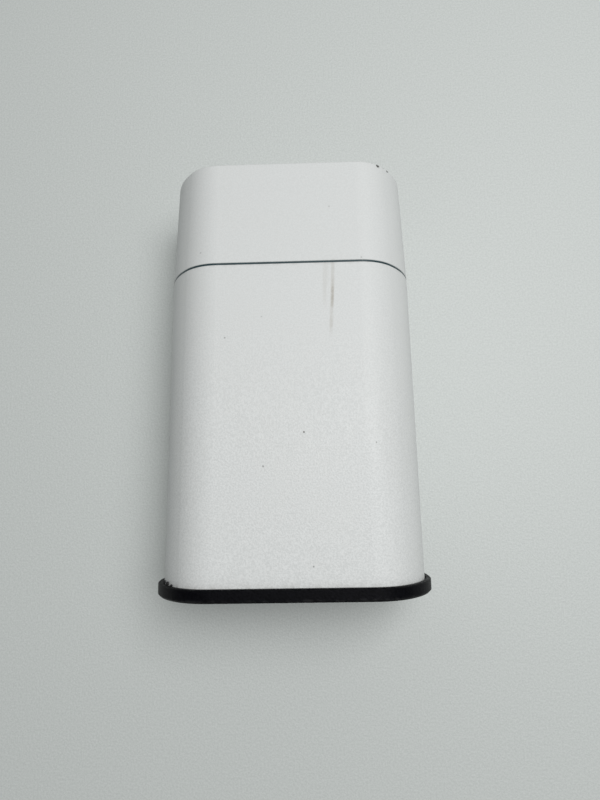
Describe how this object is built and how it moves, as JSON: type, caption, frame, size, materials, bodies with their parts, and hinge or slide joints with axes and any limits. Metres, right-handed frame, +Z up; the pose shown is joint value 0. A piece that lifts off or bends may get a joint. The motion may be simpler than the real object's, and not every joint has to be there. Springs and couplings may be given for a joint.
{
  "type": "mobile hotspot",
  "caption": "Portable battery Wi-Fi hotspot: tapered off-white sleeve on a black base, teal ring under a pull-off end cap, ports in the back.",
  "frame": {"origin": "centre of the bounding box at its base, with the device lying on its back", "axes": "+Y towards the pull-off cap's end, +Z up out of the broad front face, +X to the right seen from above with the cap at the far end; the device's own long axis dips 1.89 degrees below +Y, because its base rim stands proud and its cap is slimmer"},
  "size_m": [0.0732, 0.117, 0.0458],
  "materials": {
    "housing_plastic": "fine-grained satin moulding",
    "ring_plastic": "dark teal, slightly translucent",
    "base_plastic": "black, satin",
    "pad_rubber": "matt",
    "collar_plastic": "dark grey, fine grain",
    "chassis_plastic": "black glass-filled",
    "fastener_steel": "zinc plated",
    "magnet_nickel": "nickel plated",
    "pouch_foil": "embossed foil laminate",
    "grey_foam": "closed-cell foam",
    "pressed_steel": "tin plated",
    "spreader_aluminium": "bead blasted",
    "board_laminate": "green solder mask",
    "sheathed_wire": "extruded sheath",
    "component_plastic": "moulded nylon",
    "tray_plastic": "satin grey",
    "card_plastic": "printed-card stock, blank",
    "clear_plastic": "polished acrylic",
    "led_plastic": "phosphor yellow",
    "flex_film": "polyimide film",
    "antenna_copper": "plated copper foil"
  },
  "bodies": {
    "housing": {"main_sleeve": "housing_plastic", "status_ring": "ring_plastic", "neck_collar": "collar_plastic", "neck_seal": "pad_rubber", "collar_screws": "fastener_steel", "collar_magnets": "magnet_nickel", "base_tray": "base_plastic", "base_pad": "pad_rubber", "base_screws": "fastener_steel", "chassis": "chassis_plastic", "battery_cell_rear": "pouch_foil", "battery_cell_front": "pouch_foil", "battery_foam": "grey_foam", "battery_clamp": "pressed_steel", "clamp_screws": "fastener_steel", "protection_board": "board_laminate", "battery_lead": "sheathed_wire", "battery_connector": "component_plastic", "main_board": "board_laminate", "board_screws": "fastener_steel", "cellular_module": "pressed_steel", "processor_shield": "pressed_steel", "wifi_shield": "pressed_steel", "thermal_pad": "grey_foam", "heat_spreader": "spreader_aluminium", "sim_socket": "pressed_steel", "port_panel": "base_plastic", "usb_socket": "pressed_steel", "power_switch": "component_plastic", "charge_led": "led_plastic", "charge_light_pipe": "clear_plastic", "reset_switch": "component_plastic", "led_strip": "flex_film", "ring_leds": "led_plastic", "main_antenna": "antenna_copper", "diversity_antenna": "antenna_copper", "wifi_antenna_right": "antenna_copper", "wifi_antenna_left": "antenna_copper", "coax_main": "sheathed_wire", "coax_diversity": "sheathed_wire", "coax_wifi_right": "sheathed_wire", "coax_wifi_left": "sheathed_wire"},
    "end_cap": {"end_cap": "housing_plastic", "cap_magnets": "magnet_nickel"},
    "sim_tray": {"sim_tray": "tray_plastic", "sim_card": "card_plastic"},
    "power_button": {"power_button": "base_plastic"},
    "reset_button": {"reset_button": "base_plastic"}
  },
  "joints": [
    {"name": "cap_pull", "type": "slide", "parent": "housing", "child": "end_cap", "axis": [0, 0.9995, -0.033], "range_m": [0, 0.036]},
    {"name": "sim_tray_slide", "type": "slide", "parent": "housing", "child": "sim_tray", "axis": [0, 0.9995, -0.033], "range_m": [0, 0.017]},
    {"name": "power_press", "type": "slide", "parent": "housing", "child": "power_button", "axis": [0, 0.033, 0.9995], "range_m": [0, 0.0004], "stiffness_N_per_m": 1000, "springref_m": -0.0008},
    {"name": "reset_press", "type": "slide", "parent": "housing", "child": "reset_button", "axis": [0, -0.9995, 0.033], "range_m": [0, 0.0003], "stiffness_N_per_m": 1000, "springref_m": -0.0005}
  ]
}
